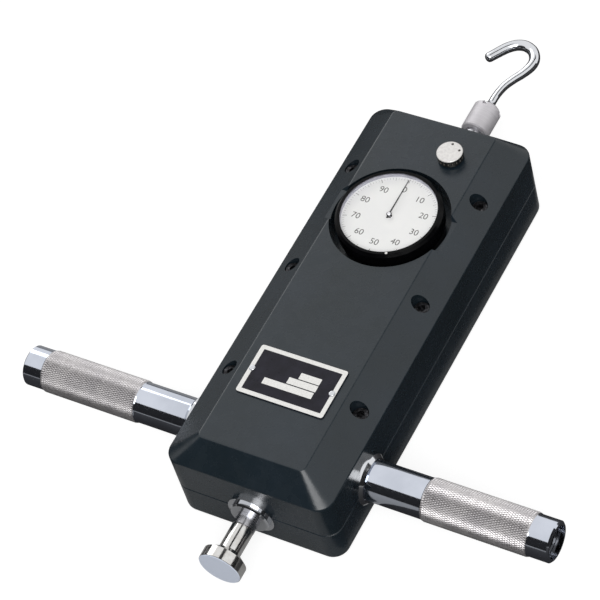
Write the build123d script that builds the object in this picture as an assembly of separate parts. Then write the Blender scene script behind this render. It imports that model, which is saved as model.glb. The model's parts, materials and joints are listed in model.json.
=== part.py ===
from build123d import *
from math import acos, asin, atan2, ceil, cos, degrees, hypot, pi, radians, sin, sqrt, tan
import os

# Mechanical push-pull force gauge, lying on its back.
# Frame: origin at the centre of the back face, +X right when reading the dial,
# +Y along the measuring axis towards the hook, +Z out of the dial. Millimetres.

# ---------------------------------------------------------------- driving dimensions
# Housing
body_width = 94.0
body_length = 242.0
body_height = 57.3
split_height = 21.8            # parting plane between the two castings
shoulder_height = 45.2         # where the side walls turn into the sloped flanks
plateau_width = 60.7
push_chamfer_run = 12.5        # length of the sloped end at the push head
hook_chamfer_run = 8.0         # length of the sloped end at the hook
corner_radius = 8.7
plateau_corner_radius = 3.0
back_edge_radius = 3.0
edge_round = 1.2
wall = 3.0
seam_chamfer = 0.5

# General clearances
seat_clearance = 0.03          # pieces assembled without play
running_clearance = 0.05       # radial, for what turns or slides

# Cover screws, M5 socket head
screw_x = 37.4
screw_from_handles = 21.7      # last pair of screws from the handle axis
screw_from_end = 46.8          # first pair from the hook end of the housing
screw_shank_radius = 2.5
screw_head_radius = 4.25
screw_head_height = 5.0
screw_socket_flats = 4.0
screw_socket_share = 0.6       # socket depth as a share of the head
screw_head_chamfer = 0.4
screw_thread_length = 12.0
screw_hole_spare = 2.0         # tapped hole beyond the end of the screw
screw_hole_radius = 2.75
counterbore_radius = 4.4
counterbore_floor = 43.4
boss_radius = 6.9

# Back mounting holes
back_hole_radius = 2.5
back_hole_depth = 9.0
back_hole_spacing_x = 50.0
back_hole_spacing_y = 120.0
back_boss_radius = 5.5
back_boss_height = 12.0
floor_tap_depth = 2.0          # small tapped holes in the floor of the tray

# Measuring spindle and what is fixed to it
spindle_radius = 6.0
spindle_nose_radius = 5.0
spindle_reach_push = 10.5      # how far each end stands out of the housing
spindle_reach_hook = 16.0
stub_radius = 3.0
stub_length = 10.0
stub_gap = 1.0                 # free space beyond the stub inside the hook nut
spindle_taper = 1.0
step_clearance = 2.0           # shoulder of the spindle from the bush at full travel
travel = 10.0                  # full-scale movement, towards the hook for push and pull alike
push_reach = 35.5              # push face beyond the housing
push_head_radius = 11.7
push_band = 6.5
push_cone = 4.0
push_shank_radius = 5.9
shank_taper = 0.6
shank_taper_depth = 0.5
face_chamfer = 0.5
hook_nut_radius = 7.9
hook_nut_length = 18.5
hook_nut_chamfer = 1.6
nut_edge_chamfer = 0.6
nut_slot_width = 2.6
nut_slot_depth = 3.2
nut_slots = 4
nut_slot_land = 1.0            # between the collar of the hook and the slots

# Hook, a bent round bar in the plane of the back face
hook_bar_radius = 2.25
hook_eye_radius = 9.9          # to the centre line of the bar
hook_eye_x = 0.5
hook_reach = 73.5              # centre of the eye beyond the housing
hook_lean = 31.0               # slope of the outward leg from the axis, degrees
hook_bend_radius = 9.0
hook_tail = 16.5
hook_tail_turn = 142.0         # where the eye ends, degrees from +X
hook_collar_radius = 3.4
hook_collar_length = 4.0
hook_collar_share = 0.4        # straight part of the collar
hook_tip_share = 0.45          # rounding of the tip as a share of the bar radius

# Guide bushes
bush_radius = 9.0
bush_flange_radius = 13.0
bush_flange = 1.8
bush_nose_radius = 11.0
bush_nose = 2.4
bush_nose_chamfer = 0.8
bush_depth = 16.0
saddle_half_width = 15.0

# Main spring
spring_wire_radius = 1.1
spring_wire_sides = 8
spring_mean_radius = 8.6
spring_turns = 7
spring_length = 50.0
spring_to_dial = 54.8          # from the end of the spring to the dial centre
collar_thickness = 4.5
collar_radius = 11.0
collar_chamfer = 0.6
pin_radius = 1.25
pin_recess = 0.5               # ends of the pin below the rim of the collar
bracket_thickness = 4.0
bracket_half_width = 14.0
bracket_foot = 12.0
bracket_foot_thickness = 3.0
bracket_height = 33.0
bracket_screw_x = 9.0
bracket_round_share = 0.6      # rounded top corners, of the half width
bracket_bore_clearance = 0.6
bracket_hole_clearance = 0.2

# Side handles
handle_from_end = 35.7         # handle axis from the push end of the housing
handle_z = 27.5
handle_end = 151.7
handle_radius = 10.86
grip_radius = 11.1
grip_start = 82.5
grip_end = 140.4
grip_lip_slope = 2.0           # run of the step at each end of the grip, per unit of rise
handle_bore_radius = 8.6
handle_bore_start = 70.0
handle_chamfer = 0.8
flange_radius = 13.5
flange_thickness = 5.0
flange_bevel = 1.6
stud_radius = 4.0
stud_engagement = 13.0
stud_end_gap = 1.0
plug_recess = 3.6
plug_length = 8.0
plug_dish_radius = 5.0
plug_dish_depth = 2.0
plug_chamfer = 0.6
handle_boss_half = 11.0

# Dial well and finger notches
dial_from_end = 74.2           # dial centre from the hook end of the housing
well_radius = 32.2
well_floor = 41.0
well_wall = 2.5
well_opening_clearance = 3.0   # hole in the floor of the well around the needle arbor
notch_depth = 2.65
notch_half_length = 9.8
notch_inner_x = 22.0
notch_slope = 1.4
notch_pad = 3.2

# Dial gauge head
case_radius = 27.0
case_wall = 1.5
case_recess = 0.3              # rim of the case below the plateau
case_screw_circle = 20.0
case_screw_angles = (90, 210, 330)
case_bore_clearance = 0.3
bezel_radius = 28.6
bezel_sink = 5.3               # how far the bezel reaches into the well
bezel_stand = 4.4              # how far it stands above the plateau
bezel_slope_height = 1.7
bezel_slope_width = 1.4
face_window_radius = 25.7
dial_seat_radius = 26.5
dial_plate_stand = 0.2         # underside of the dial plate above the plateau
dial_plate_thickness = 0.9
dial_bore_clearance = 0.4
needle_gap = 1.3               # needle above the dial plate
crystal_gap = 2.3              # crystal above the dial plate
crystal_thickness = 0.8
needle_thickness = 0.3
needle_length = 23.5
needle_tail = 2.6
needle_root_width = 0.75
needle_tip_width = 0.35
needle_hub_radius = 1.4
needle_cap_radius = 1.05
needle_cap_height = 0.4
needle_cap_chamfer = 0.2

# Gear train: rack to 12 teeth, then 45 to 15, turns the needle 358 degrees in full travel
module = 0.8
rack_pinion_teeth = 12
gear_teeth = 45
centre_pinion_teeth = 15
pressure_angle = 20.0
addendum = 0.65
dedendum = 0.85
backlash = 0.14
rack_pitch_depth = 5.0         # pitch line of the rack from the spindle axis
rack_run_in = 4.4
arbor_radius = 1.5
centre_arbor_radius = 1.0
pinion_half_width = 2.5
pinion_overhang = 0.3          # centre pinion beyond each face of the gear
arbor_below_pinion = 3.0
arbor_stand = 0.4              # idler arbor above the upper plate
gear_bottom = 31.9
gear_thickness = 1.4
gear_windows = 5
gear_window_circle = 0.58      # shares of the pitch radius
gear_window_share = 0.2
ratchet_teeth = 24
ratchet_radius = 8.0
ratchet_depth = 1.1
ratchet_bottom = 33.9
ratchet_thickness = 1.2
ratchet_lean = 0.12            # steep side of a tooth, as a share of the pitch
hairspring_bottom = 34.3
hairspring_height = 0.6
hairspring_inner = 2.2
hairspring_outer = 6.6
hairspring_turns = 3
hairspring_strip = 0.3
spiral_steps = 16              # per turn

# Movement plates
plate_left = -29.8
plate_right = 28.0
plate_below_dial = 24.8
plate_above_dial = 53.2
plate_corner = 5.0
plate_thickness = 1.5
lower_plate_bottom = 29.4
upper_plate_bottom = 36.2
post_inset = 5.0
post_radius = 3.0
plate_screw_radius = 1.5
plate_screw_head_radius = 2.6
plate_screw_head = 1.5
movement_screw_head = 0.7
plate_hole_clearance = 0.1
slot_half_width = 0.3          # driver slot of the small screws
slot_share = 0.5               # depth of the slot as a share of the head

# Peak-hold knob and pawl
knob_x = 13.4
knob_from_end = 28.5           # knob centre from the hook end of the housing
knob_radius = 7.0
knob_stand = 5.7               # top of the knob above the plateau
knob_gap = 0.3
knob_flutes = 20
knob_flute_radius = 0.8
knob_flute_share = 0.4         # centre of a flute outside the rim, of its radius
knob_flute_top = 1.0
knob_ring = 1.2
knob_top_chamfer = 0.3
knob_cap = 2.0                 # metal above the end of the shaft
dot_radius = 0.75
dot_circle = 5.2
dot_angles = (28.0, 97.0)
dot_depth = 1.0
knob_shaft_radius = 2.0
knob_bush_radius = 3.5
knob_bush_flange = 5.5
knob_bush_reach = 5.0
knob_bush_rim = 1.0
knob_nut_half_flats = 5.5
knob_nut_height = 2.5
cam_radius = 3.0
cam_throw = 0.7
cam_hole_clearance = 0.5
pawl_pivot_x = 6.0
pawl_below_knob = 9.5
pawl_pin_radius = 1.2
pawl_eye_radius = 3.0
pawl_width = 2.4
pawl_root_share = 1.5
pawl_tail_share = 0.8
pawl_tip_width = 0.6
pawl_cam_gap = 0.2
pawl_tip_gap = 1.0
pawl_tip_angle = 52.0

# Nameplate
plate_label_width = 50.0
plate_label_height = 30.0
label_above_handles = 22.2
label_thickness = 0.8
label_corner = 1.5
rivet_x = 22.9
rivet_radius = 1.2
rivet_head_radius = 1.7
rivet_head = 0.7
rivet_inset = 0.5              # end of the rivet inside the cover
rivet_round_share = 0.7

# Selection of edges by their place
edge_tolerance = 0.01

# ---------------------------------------------------------------- derived places
axis_z = split_height
half_width = body_width / 2
half_length = body_length / 2
handle_y = handle_from_end - half_length
label_y = handle_y + label_above_handles
screw_low = handle_y + screw_from_handles
screw_high = half_length - screw_from_end
screw_ys = [screw_low, (screw_low + screw_high) / 2, screw_high]
flank_run = (body_width - plateau_width) / 2
crown_height = body_height - shoulder_height
flank_length = hypot(flank_run, crown_height)
flank_cos = flank_run / flank_length
flank_sin = crown_height / flank_length
plateau_length = body_length - push_chamfer_run - hook_chamfer_run
plateau_y = (push_chamfer_run - hook_chamfer_run) / 2
shoulder_drop = wall * (1 - flank_sin) / flank_cos
plateau_inset = wall * (1 - flank_cos) / flank_sin
ceiling = body_height - wall

dial_y = half_length - dial_from_end
notch_floor = body_height - notch_depth
case_top = body_height - case_recess
bezel_bottom = body_height - bezel_sink
bezel_top = body_height + bezel_stand
dial_plate_bottom = body_height + dial_plate_stand
dial_plate_top = dial_plate_bottom + dial_plate_thickness
needle_bottom = dial_plate_top + needle_gap
crystal_bottom = dial_plate_top + crystal_gap
knob_y = half_length - knob_from_end
knob_top = body_height + knob_stand
pawl_pivot_y = knob_y - pawl_below_knob
plate_low = dial_y - plate_below_dial
plate_high = dial_y + plate_above_dial

rack_pinion_pitch = module * rack_pinion_teeth / 2
gear_pitch = module * gear_teeth / 2
centre_pinion_pitch = module * centre_pinion_teeth / 2
gear_centres = gear_pitch + centre_pinion_pitch
idler_x = -(rack_pitch_depth + rack_pinion_pitch)
idler_y = dial_y + sqrt(gear_centres ** 2 - idler_x ** 2)
mesh_angle = degrees(atan2(dial_y - idler_y, -idler_x))
upper_plate_top = upper_plate_bottom + plate_thickness
lower_plate_top = lower_plate_bottom + plate_thickness
post_places = [
    (x, y)
    for x in (plate_left + post_inset, plate_right - post_inset)
    for y in (plate_low + post_inset, plate_high - post_inset)
]
spring_end = dial_y - spring_to_dial
spring_start = spring_end - spring_length
collar_pin_y = spring_start - collar_thickness / 2
spindle_start = -half_length - spindle_reach_push
spindle_end = half_length + spindle_reach_hook
spindle_step = half_length - bush_depth - travel - step_clearance
push_face = -half_length - push_reach
hook_eye_y = half_length + hook_reach
tube_start = half_width + flange_thickness
case_screw_places = [
    (case_screw_circle * cos(radians(angle)), dial_y + case_screw_circle * sin(radians(angle)))
    for angle in case_screw_angles
]


# ---------------------------------------------------------------- helpers
def slab(width, length, radius, z0, z1, y=0):
    """Upright block with rounded corners, centred on x = 0."""
    outline = Pos(0, y, z0) * RectangleRounded(width, length, radius)
    return extrude(outline, amount=z1 - z0)


def crown(width, length, radius, z0, top_width, top_length, top_radius, z1, top_y):
    """Sloped top between two rounded rectangles."""
    lower = Pos(0, 0, z0) * RectangleRounded(width, length, radius)
    upper = Pos(0, top_y, z1) * RectangleRounded(top_width, top_length, top_radius)
    return loft([lower, upper], ruled=True)


def rod_z(radius, z0, z1, x=0, y=0):
    return Pos(x, y, z0) * Cylinder(radius, z1 - z0, align=(Align.CENTER, Align.CENTER, Align.MIN))


def rod_y(radius, y0, y1, x=0, z=axis_z):
    bar = Cylinder(radius, y1 - y0, align=(Align.CENTER, Align.CENTER, Align.MIN))
    return Pos(x, y0, z) * Rot(-90, 0, 0) * bar


def rod_x(radius, x0, x1, y=handle_y, z=handle_z):
    bar = Cylinder(radius, x1 - x0, align=(Align.CENTER, Align.CENTER, Align.MIN))
    return Pos(x0, y, z) * Rot(0, 90, 0) * bar


def box(x0, x1, y0, y1, z0, z1):
    low = (Align.MIN, Align.MIN, Align.MIN)
    return Pos(x0, y0, z0) * Box(x1 - x0, y1 - y0, z1 - z0, align=low)


def turned_y(points, z=axis_z):
    """Solid of revolution about the measuring axis from (radius, y) corners."""
    face = make_face(Polyline(*[(r, y, z) for r, y in points], close=True))
    return revolve(face, Axis((0, 0, z), (0, 1, 0)))


def turned_x(points):
    """Solid of revolution about the handle axis from (x, radius) corners."""
    outline = [(x, handle_y + r, handle_z) for x, r in points]
    return revolve(make_face(Polyline(*outline, close=True)), Axis((0, handle_y, handle_z), (1, 0, 0)))


def turned_z(points, x=0, y=dial_y):
    """Solid of revolution about an upright axis from (radius, z) corners."""
    outline = [(x + r, y, z) for r, z in points]
    return revolve(make_face(Polyline(*outline, close=True)), Axis((x, y, 0), (0, 0, 1)))


def both_sides(piece):
    """The piece and its mirror image on the left."""
    return [piece, mirror(piece, Plane.YZ)]


def joined(shapes):
    """One compound of separate solids, for fasteners that share a node."""
    return Compound(children=list(shapes))


def level_edges(shape, height):
    """Edges that lie flat at one height."""
    return [e for e in shape.edges() if abs(e.center().Z - height) < edge_tolerance
            and e.bounding_box().size.Z < edge_tolerance]


def socket_screw(radius, head_radius, head_height, length, flats):
    """Socket head cap screw, head underside at z = 0, shank downwards."""
    head = rod_z(head_radius, 0, head_height)
    head = chamfer(head.edges().group_by(Axis.Z)[-1], screw_head_chamfer)
    recess = Pos(0, 0, head_height) * RegularPolygon(flats / 2, 6, major_radius=False)
    return head + rod_z(radius, -length, 0) - extrude(recess, amount=-head_height * screw_socket_share)


def slotted_screw(radius, head_radius, head_height, length):
    """Small pan head screw with a driver slot, underside at z = 0."""
    screw = rod_z(head_radius, 0, head_height) + rod_z(radius, -length, 0)
    slot = box(-head_radius, head_radius, -slot_half_width, slot_half_width,
               head_height * slot_share, head_height + 1)
    return screw - slot


def involute(angle):
    return tan(angle) - angle


def gear_outline(teeth, turn):
    """Closed outline of a spur gear with one tooth centred at angle turn."""
    pitch = module * teeth / 2
    base = pitch * cos(radians(pressure_angle))
    root = pitch - dedendum * module
    tip = pitch + addendum * module
    at_pitch = (pi * module / 2 - backlash) / (2 * pitch)
    lead = at_pitch + involute(radians(pressure_angle))

    def half_angle(radius):
        return lead - involute(acos(min(1.0, base / max(radius, base))))

    flank = [(root, half_angle(root)), (pitch, half_angle(pitch)), (tip, half_angle(tip))]
    points = []
    for k in range(teeth):
        centre = radians(turn) + 2 * pi * k / teeth
        points += [(r * cos(centre - a), r * sin(centre - a)) for r, a in flank]
        points += [(r * cos(centre + a), r * sin(centre + a)) for r, a in reversed(flank)]
    return make_face(Polyline(*points, close=True))


def spur_gear(teeth, turn, z0, z1, x, y, bore):
    blank = extrude(Pos(0, 0, z0) * gear_outline(teeth, turn), amount=z1 - z0)
    return Pos(x, y, 0) * (blank - rod_z(bore, z0 - 1, z1 + 1))


# ---------------------------------------------------------------- housing
def bush_bore(end):
    """Bore for a guide bush through one end wall; end is -1 or 1."""
    outside = end * (half_length + 1)
    inside = end * (half_length - bush_depth - 1)
    return rod_y(bush_radius + seat_clearance, min(outside, inside), max(outside, inside))


def saddle(end, z0, z1):
    """Thick end wall that holds a guide bush."""
    far = end * (half_length - bush_depth + 1)
    near = end * (half_length - 1)
    return box(-saddle_half_width, saddle_half_width, min(far, near), max(far, near), z0, z1)


def housing_shell():
    """Outer form of both castings, uncut."""
    lower = slab(body_width, body_length, corner_radius, 0, shoulder_height)
    upper = crown(
        body_width, body_length, corner_radius, shoulder_height,
        plateau_width, plateau_length, plateau_corner_radius, body_height, plateau_y,
    )
    whole = lower + upper
    whole = fillet(whole.edges().group_by(Axis.Z)[-1], edge_round)
    shoulder = level_edges(whole, shoulder_height)
    whole = fillet(shoulder, edge_round)
    return fillet(whole.edges().group_by(Axis.Z)[0], back_edge_radius)


def cover_cavity():
    inner_width = body_width - 2 * wall
    inner_length = body_length - 2 * wall
    inner_corner = corner_radius - wall
    turn = shoulder_height - shoulder_drop
    lower = slab(inner_width, inner_length, inner_corner, split_height - 1, turn)
    upper = crown(
        inner_width, inner_length, inner_corner, turn,
        plateau_width - 2 * plateau_inset, plateau_length - 2 * plateau_inset,
        plateau_corner_radius - plateau_inset, ceiling, plateau_y,
    )
    return lower + upper


def notch_profile(half_run, low, high, x0, x1):
    """Finger notch with sloped ends, open to the flank."""
    rise = high - low
    outline = Polyline(
        (x0, dial_y - half_run, low), (x0, dial_y + half_run, low),
        (x0, dial_y + half_run + notch_slope * rise / 2, high),
        (x0, dial_y - half_run - notch_slope * rise / 2, high), close=True,
    )
    return extrude(make_face(outline), amount=x1 - x0, dir=(1, 0, 0))


def front_cover(shell):
    upper_half = box(-half_width, half_width, -half_length, half_length, split_height, body_height + 1)
    outer = shell & upper_half
    outer = chamfer(level_edges(outer, split_height), seam_chamfer)
    cover = outer - cover_cavity()

    inside = [rod_z(well_radius + well_wall, well_floor - well_wall, body_height, 0, dial_y)]
    for y in screw_ys:
        inside += both_sides(rod_z(boss_radius, split_height, body_height, screw_x, y))
    inside += both_sides(box(
        notch_inner_x, half_width, dial_y - notch_half_length - well_wall,
        dial_y + notch_half_length + well_wall, notch_floor - notch_pad, body_height,
    ))
    inside += both_sides(box(
        half_width - wall - stud_engagement, half_width - 1, handle_y - handle_boss_half,
        handle_y + handle_boss_half, split_height, handle_z + handle_boss_half,
    ))
    inside += [saddle(end, split_height, split_height + saddle_half_width) for end in (-1, 1)]
    for piece in inside:
        cover += piece & outer

    cover -= rod_z(well_radius, well_floor, body_height + 1, 0, dial_y)
    opening = centre_arbor_radius + well_opening_clearance
    cover -= rod_z(opening, well_floor - well_wall - 1, well_floor + 1, 0, dial_y)
    cover -= rod_z(knob_bush_radius + seat_clearance, ceiling - 1, body_height + 1, knob_x, knob_y)
    for x, y in case_screw_places:
        cover -= rod_z(plate_screw_radius, well_floor - well_wall - 1, well_floor + 1, x, y)
    notch = notch_profile(notch_half_length, notch_floor, body_height + 2, notch_inner_x, half_width)
    stud_hole = rod_x(stud_radius, half_width - wall - stud_engagement - 1, half_width + 1)
    rivet_hole = rod_z(rivet_radius + seat_clearance, ceiling - 1, body_height + 1, rivet_x, label_y)
    cuts = both_sides(notch) + both_sides(stud_hole) + both_sides(rivet_hole)
    cuts += [bush_bore(-1), bush_bore(1)]
    for y in screw_ys:
        cuts += both_sides(rod_z(screw_hole_radius, split_height - 1, counterbore_floor + 1, screw_x, y))
        cuts += both_sides(rod_z(counterbore_radius, counterbore_floor, body_height, screw_x, y))
    for piece in cuts:
        cover -= piece
    return cover


def rear_housing(shell):
    outer = shell & box(-half_width, half_width, -half_length, half_length, 0, split_height)
    outer = chamfer(outer.edges().group_by(Axis.Z)[-1], seam_chamfer)
    inner = slab(body_width - 2 * wall, body_length - 2 * wall, corner_radius - wall, wall, split_height + 1)
    tray = outer - inner
    inside = saddle(-1, wall, split_height) + saddle(1, wall, split_height)
    for side in (-1, 1):
        for y in screw_ys:
            inside += rod_z(boss_radius, wall / 2, split_height, side * screw_x, y)
        for end in (-1, 1):
            inside += rod_z(back_boss_radius, wall / 2, back_boss_height,
                            side * back_hole_spacing_x / 2, end * back_hole_spacing_y / 2)
    tray += inside & outer
    screw_hole_bottom = split_height - screw_thread_length - screw_hole_spare
    for side in (-1, 1):
        tray -= bush_bore(side)
        for y in screw_ys:
            tray -= rod_z(screw_shank_radius, screw_hole_bottom, split_height + 1, side * screw_x, y)
        for end in (-1, 1):
            tray -= rod_z(back_hole_radius, -1, back_hole_depth,
                          side * back_hole_spacing_x / 2, end * back_hole_spacing_y / 2)
    for x, y in post_places:
        tray -= rod_z(plate_screw_radius, wall - floor_tap_depth, wall + 1, x, y)
    for y in bracket_planes():
        for side in (-1, 1):
            tray -= rod_z(plate_screw_radius, wall - floor_tap_depth, wall + 1, side * bracket_screw_x, y)
    return tray


def cover_screws():
    length = counterbore_floor - split_height + screw_thread_length
    screw = socket_screw(screw_shank_radius, screw_head_radius, screw_head_height, length,
                         screw_socket_flats)
    return joined(Pos(side * screw_x, y, counterbore_floor) * screw for side in (-1, 1) for y in screw_ys)


# ---------------------------------------------------------------- measuring spindle
def guide_bush(end, bore, flange_radius_here, nose_radius):
    """Flanged guide bush seen from the outside of one end wall."""
    outline = [
        (bore + running_clearance, -bush_depth), (bush_radius, -bush_depth), (bush_radius, 0),
        (flange_radius_here, 0), (flange_radius_here, bush_flange), (nose_radius, bush_flange),
        (nose_radius, bush_flange + bush_nose - bush_nose_chamfer),
        (nose_radius - bush_nose_chamfer, bush_flange + bush_nose),
        (bore + running_clearance, bush_flange + bush_nose),
    ]
    return turned_y([(r, end * (half_length + y)) for r, y in outline])


def rack_cuts():
    """Flat and tooth spaces along the left side of the spindle."""
    tip = rack_pitch_depth + addendum * module
    root = rack_pitch_depth - dedendum * module
    low = idler_y - travel - rack_run_in
    high = idler_y + rack_run_in
    cut = box(-spindle_radius - 1, -tip, low, high, axis_z - spindle_radius, axis_z + spindle_radius)
    pitch = pi * module
    slope = tan(radians(pressure_angle))
    half_space = pitch / 4 + backlash / 2
    for k in range(-ceil(travel / pitch) - 1, 2):
        y = idler_y + k * pitch
        at_tip = half_space + (tip - rack_pitch_depth) * slope
        at_root = half_space - (rack_pitch_depth - root) * slope
        if y - at_tip < low or y + at_tip > high:
            continue
        space = make_face(Polyline(
            (-tip - 1, y - at_tip, 0), (-tip, y - at_tip, 0), (-root, y - at_root, 0),
            (-root, y + at_root, 0), (-tip, y + at_tip, 0), (-tip - 1, y + at_tip, 0), close=True,
        ))
        cut += Pos(0, 0, axis_z - spindle_radius) * extrude(space, amount=2 * spindle_radius)
    return cut


def spindle():
    rod = turned_y([
        (0, spindle_start), (spindle_radius, spindle_start), (spindle_radius, spindle_step),
        (spindle_nose_radius, spindle_step + spindle_taper), (spindle_nose_radius, spindle_end),
        (stub_radius, spindle_end), (stub_radius, spindle_end + stub_length), (0, spindle_end + stub_length),
    ])
    rod -= rod_y(stub_radius, spindle_start - 1, spindle_start + stub_length + 1)
    rod -= rod_z(pin_radius, axis_z - spindle_radius - 1, axis_z + spindle_radius + 1, 0, collar_pin_y)
    return rod - rack_cuts()


def push_head():
    back = push_face + push_band
    return turned_y([
        (0, push_face), (push_head_radius - face_chamfer, push_face),
        (push_head_radius, push_face + face_chamfer), (push_head_radius, back),
        (push_shank_radius, back + push_cone), (push_shank_radius, spindle_start - shank_taper),
        (push_shank_radius - shank_taper_depth, spindle_start), (stub_radius, spindle_start),
        (stub_radius, spindle_start + stub_length), (0, spindle_start + stub_length),
    ])


def hook_nut():
    start = spindle_end
    end = start + hook_nut_length
    nut = turned_y([
        (stub_radius, start), (hook_nut_radius - nut_edge_chamfer, start),
        (hook_nut_radius, start + nut_edge_chamfer),
        (hook_nut_radius, end - hook_nut_chamfer), (hook_nut_radius - hook_nut_chamfer, end),
        (hook_bar_radius, end), (hook_bar_radius, start + stub_length + stub_gap),
        (stub_radius, start + stub_length + stub_gap),
    ])
    for k in range(nut_slots):
        slot = box(hook_collar_radius + nut_slot_land, hook_nut_radius + 1, end - nut_slot_depth, end + 1,
                   -nut_slot_width / 2, nut_slot_width / 2)
        nut -= Pos(0, 0, axis_z) * Rot(0, k * 360 / nut_slots, 0) * slot
    return nut


def hook():
    """Round bar: straight shank, outward leg, eye and straight tail."""
    lean = radians(hook_lean)
    eye = Vector(hook_eye_x, hook_eye_y, axis_z)
    leave = eye + Vector(cos(lean), -sin(lean), 0) * hook_eye_radius
    root_y = leave.Y - leave.X / tan(lean)
    trim = hook_bend_radius * tan(lean / 2)
    shank_start = Vector(0, spindle_end + stub_length + stub_gap, axis_z)
    bend_start = Vector(0, root_y - trim, axis_z)
    bend_end = Vector(trim * sin(lean), root_y + trim * cos(lean), axis_z)
    turn = radians(hook_tail_turn)
    eye_end = eye + Vector(cos(turn), sin(turn), 0) * hook_eye_radius
    tail_end = eye_end + Vector(-sin(turn), cos(turn), 0) * hook_tail
    middle = (turn - lean) / 2
    eye_middle = eye + Vector(cos(middle), sin(middle), 0) * hook_eye_radius
    bend_centre = Vector(hook_bend_radius, bend_start.Y, axis_z)
    bend_middle = bend_centre + Vector(-cos(lean / 2), sin(lean / 2), 0) * hook_bend_radius
    path = Wire([
        Line(shank_start, bend_start).edge(),
        ThreePointArc(bend_start, bend_middle, bend_end).edge(),
        Line(bend_end, leave).edge(),
        ThreePointArc(leave, eye_middle, eye_end).edge(),
        Line(eye_end, tail_end).edge(),
    ])
    section = Plane(shank_start, z_dir=(0, 1, 0)) * Circle(hook_bar_radius)
    bar = sweep(section, path=path)
    tip = bar.faces().sort_by(Axis((0, 0, 0), (-1, -1, 0)))[-1]
    bar = fillet(tip.edges(), hook_bar_radius * hook_tip_share)
    nut_end = spindle_end + hook_nut_length
    collar = turned_y([
        (0, nut_end + seat_clearance), (hook_collar_radius, nut_end + seat_clearance),
        (hook_collar_radius, nut_end + hook_collar_length * hook_collar_share),
        (hook_bar_radius, nut_end + hook_collar_length), (0, nut_end + hook_collar_length),
    ])
    return bar + collar


# ---------------------------------------------------------------- main spring
def bracket_planes():
    """Y of the screw line in the foot of each bracket: stop bracket, spring bracket."""
    stop_face = spring_start - collar_thickness - seat_clearance
    to_screws = bracket_thickness + bracket_foot / 2
    return (stop_face - to_screws, spring_end + to_screws)


def bracket(face_y, away):
    """Angle bracket on the tray floor; away is the side of its foot, -1 or 1."""
    far = face_y + away * bracket_thickness
    foot = far + away * bracket_foot
    upright = box(-bracket_half_width, bracket_half_width, min(face_y, far), max(face_y, far),
                  wall, bracket_height)
    top = [e for e in upright.edges().filter_by(Axis.Y) if e.center().Z > bracket_height - 1]
    upright = fillet(top, bracket_half_width * bracket_round_share)
    plate = box(-bracket_half_width, bracket_half_width, min(face_y, foot), max(face_y, foot),
                wall, wall + bracket_foot_thickness)
    piece = upright + plate
    piece -= rod_y(spindle_radius + bracket_bore_clearance, min(face_y, far) - 1, max(face_y, far) + 1)
    for side in (-1, 1):
        piece -= rod_z(plate_screw_radius + bracket_hole_clearance, 0, wall + bracket_thickness + 1,
                       side * bracket_screw_x, far + away * bracket_foot / 2)
    return piece


def bracket_screws():
    top = wall + bracket_foot_thickness
    screw = slotted_screw(plate_screw_radius, plate_screw_head_radius, plate_screw_head,
                          top - wall + floor_tap_depth)
    return joined(Pos(side * bracket_screw_x, y, top) * screw for y in bracket_planes() for side in (-1, 1))


def main_spring():
    """Compression spring with closed ends between the collar and the spring bracket."""
    pitch = (spring_length - 2 * spring_wire_radius) / spring_turns
    path = Helix(pitch, pitch * spring_turns, spring_mean_radius)
    start = path @ 0
    section = Plane(origin=start, z_dir=path % 0) * RegularPolygon(spring_wire_radius, spring_wire_sides)
    coil = sweep(section, path=path, is_frenet=True)
    return Pos(0, spring_start + spring_wire_radius, axis_z) * Rot(-90, 0, 0) * coil


def spring_collar():
    ring = turned_y([
        (spindle_radius + seat_clearance, spring_start - collar_thickness),
        (collar_radius, spring_start - collar_thickness), (collar_radius, spring_start - collar_chamfer),
        (collar_radius - collar_chamfer, spring_start), (spindle_radius + seat_clearance, spring_start),
    ])
    return ring - rod_z(pin_radius, axis_z - collar_radius - 1, axis_z + collar_radius + 1, 0, collar_pin_y)


def collar_pin():
    reach = collar_radius - pin_recess
    return rod_z(pin_radius - seat_clearance, axis_z - reach, axis_z + reach, 0, collar_pin_y)


# ---------------------------------------------------------------- side handles
def handle():
    lip = (grip_radius - handle_radius) * grip_lip_slope
    outline = [
        (tube_start, 0), (tube_start, handle_radius - handle_chamfer),
        (tube_start + handle_chamfer, handle_radius), (grip_start, handle_radius),
        (grip_start + lip, grip_radius), (grip_end - lip, grip_radius), (grip_end, handle_radius),
        (handle_end - handle_chamfer, handle_radius), (handle_end, handle_radius - handle_chamfer),
        (handle_end, handle_bore_radius), (handle_bore_start, handle_bore_radius), (handle_bore_start, 0),
    ]
    hole = rod_x(stud_radius, tube_start - 1, tube_start + stud_engagement)
    return turned_x(outline) - hole


def handle_flange():
    return turned_x([
        (half_width, stud_radius + seat_clearance), (half_width, flange_radius),
        (half_width + flange_thickness - flange_bevel, flange_radius),
        (tube_start, flange_radius - flange_bevel), (tube_start, stud_radius + seat_clearance),
    ])


def handle_stud():
    inner_end = half_width - wall - stud_engagement + stud_end_gap
    return rod_x(stud_radius, inner_end, tube_start + stud_engagement - stud_end_gap)


def handle_plug():
    face = handle_end - plug_recess
    body = rod_x(handle_bore_radius - seat_clearance, face - plug_length, face)
    dish = rod_x(plug_dish_radius, face - plug_dish_depth, face + 1)
    return chamfer(body.edges().sort_by(Axis.X)[-1], plug_chamfer) - dish


# ---------------------------------------------------------------- dial head
def dial_case():
    bottom = well_floor
    cup = turned_z([
        (centre_arbor_radius + case_bore_clearance, bottom), (case_radius, bottom), (case_radius, case_top),
        (case_radius - case_wall, case_top), (case_radius - case_wall, bottom + case_wall),
        (centre_arbor_radius + case_bore_clearance, bottom + case_wall),
    ])
    for x, y in case_screw_places:
        cup -= rod_z(plate_screw_radius + plate_hole_clearance, bottom - 1, bottom + case_wall + 1, x, y)
    return cup


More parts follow.
